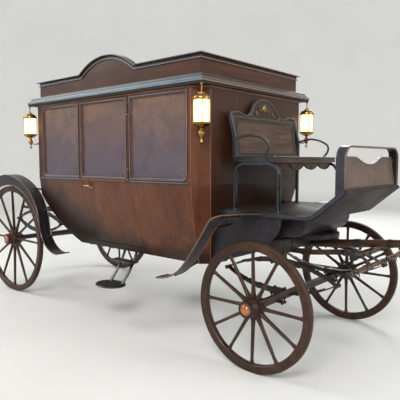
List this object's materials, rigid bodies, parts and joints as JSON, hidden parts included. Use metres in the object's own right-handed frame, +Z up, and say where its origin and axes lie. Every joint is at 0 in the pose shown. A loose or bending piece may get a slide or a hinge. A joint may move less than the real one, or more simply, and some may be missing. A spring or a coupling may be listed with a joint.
{
  "type": "horse drawn carriage",
  "caption": "Closed glazed coach on four spoked wheels, with an outside driver's seat, a turning forecarriage, corner lamps, curved fenders and a draught pole",
  "frame": {"origin": "plan centre of the whole vehicle with its pole, on the ground", "axes": "+X forward along the pole, +Y to the vehicle's left, +Z up"},
  "size_m": [6.8, 1.79, 2.4399],
  "materials": {
    "body_wood": "dark red-brown varnished wood",
    "frame_wood": "near-black varnished wood",
    "wheel_wood": "dark brown varnished wood",
    "seat_wood": "grey-brown worn wood",
    "roof_wood": "dark red-brown varnished wood",
    "trim_black": "black paint with a blue-grey sheen",
    "iron": "black painted iron",
    "tyre_iron": "worn dark iron",
    "leather": "brown leather",
    "cushion": "dark red cloth",
    "glass": "slightly dusty clear glass",
    "lamp_glass": "clear glass lit from inside by a warm flame",
    "brass": "aged polished brass"
  },
  "bodies": {
    "coach_body": {"cabin_side_right": "body_wood", "cabin_side_left": "body_wood", "cabin_front": "body_wood", "cabin_rear": "body_wood", "cabin_floor": "frame_wood", "roof_deck": "frame_wood", "roof_fascia": "roof_wood", "roof_crown": "trim_black", "eave_cornice": "trim_black", "side_glass": "glass", "side_mouldings": "trim_black", "bench_frames": "frame_wood", "bench_cushions": "cushion", "lamp_frames": "brass", "lamp_glass": "lamp_glass", "driver_platform": "seat_wood", "platform_edge": "trim_black", "platform_bolster": "frame_wood", "dash_panel": "leather", "dash_rail": "trim_black", "seat_irons": "iron", "seat_board": "seat_wood", "seat_crest": "trim_black", "front_fenders": "iron", "rear_fenders": "iron", "door_steps": "iron", "pump_handles": "iron", "rear_springs": "iron", "rear_axle": "iron", "turntable_upper": "iron"},
    "forecarriage": {"turntable_lower": "iron", "front_springs": "iron", "front_axle": "iron", "futchells": "wheel_wood", "pole": "wheel_wood", "splinter_bar": "wheel_wood"},
    "door_right": {"door_right": "body_wood", "door_glass_right": "glass", "door_handle_right": "brass"},
    "swingletree_right": {"swingletree_right": "wheel_wood"},
    "wheel_front_right": {"wheel_front_right": "wheel_wood", "tyre_front_right": "tyre_iron"},
    "wheel_rear_right": {"wheel_rear_right": "wheel_wood", "tyre_rear_right": "tyre_iron"},
    "door_left": {"door_left": "body_wood", "door_glass_left": "glass", "door_handle_left": "brass"},
    "swingletree_left": {"swingletree_left": "wheel_wood"},
    "wheel_front_left": {"wheel_front_left": "wheel_wood", "tyre_front_left": "tyre_iron"},
    "wheel_rear_left": {"wheel_rear_left": "wheel_wood", "tyre_rear_left": "tyre_iron"}
  },
  "joints": [
    {"name": "forecarriage_steer", "type": "hinge", "parent": "coach_body", "child": "forecarriage", "pos_m": [0.53, 0, 0.9], "axis": [0, 0, 1], "range_deg": [-15, 15]},
    {"name": "door_right_hinge", "type": "hinge", "parent": "coach_body", "child": "door_right", "pos_m": [-0.7785, -0.779, 1.65], "axis": [0, 0, 1], "range_deg": [0, 85]},
    {"name": "swingletree_right_pivot", "type": "hinge", "parent": "forecarriage", "child": "swingletree_right", "pos_m": [1.162, -0.335, 0.765], "axis": [0, 0, 1], "range_deg": [-15, 15]},
    {"name": "wheel_front_right_spin", "type": "hinge", "parent": "forecarriage", "child": "wheel_front_right", "pos_m": [0.53, -0.775, 0.464], "axis": [0, 1, 0], "continuous": true},
    {"name": "wheel_rear_right_spin", "type": "hinge", "parent": "coach_body", "child": "wheel_rear_right", "pos_m": [-2.8, -0.775, 0.6], "axis": [0, 1, 0], "continuous": true},
    {"name": "door_left_hinge", "type": "hinge", "parent": "coach_body", "child": "door_left", "pos_m": [-0.7785, 0.779, 1.65], "axis": [0, 0, -1], "range_deg": [0, 85]},
    {"name": "swingletree_left_pivot", "type": "hinge", "parent": "forecarriage", "child": "swingletree_left", "pos_m": [1.162, 0.335, 0.765], "axis": [0, 0, 1], "range_deg": [-15, 15]},
    {"name": "wheel_front_left_spin", "type": "hinge", "parent": "forecarriage", "child": "wheel_front_left", "pos_m": [0.53, 0.775, 0.464], "axis": [0, 1, 0], "continuous": true},
    {"name": "wheel_rear_left_spin", "type": "hinge", "parent": "coach_body", "child": "wheel_rear_left", "pos_m": [-2.8, 0.775, 0.6], "axis": [0, 1, 0], "continuous": true}
  ]
}
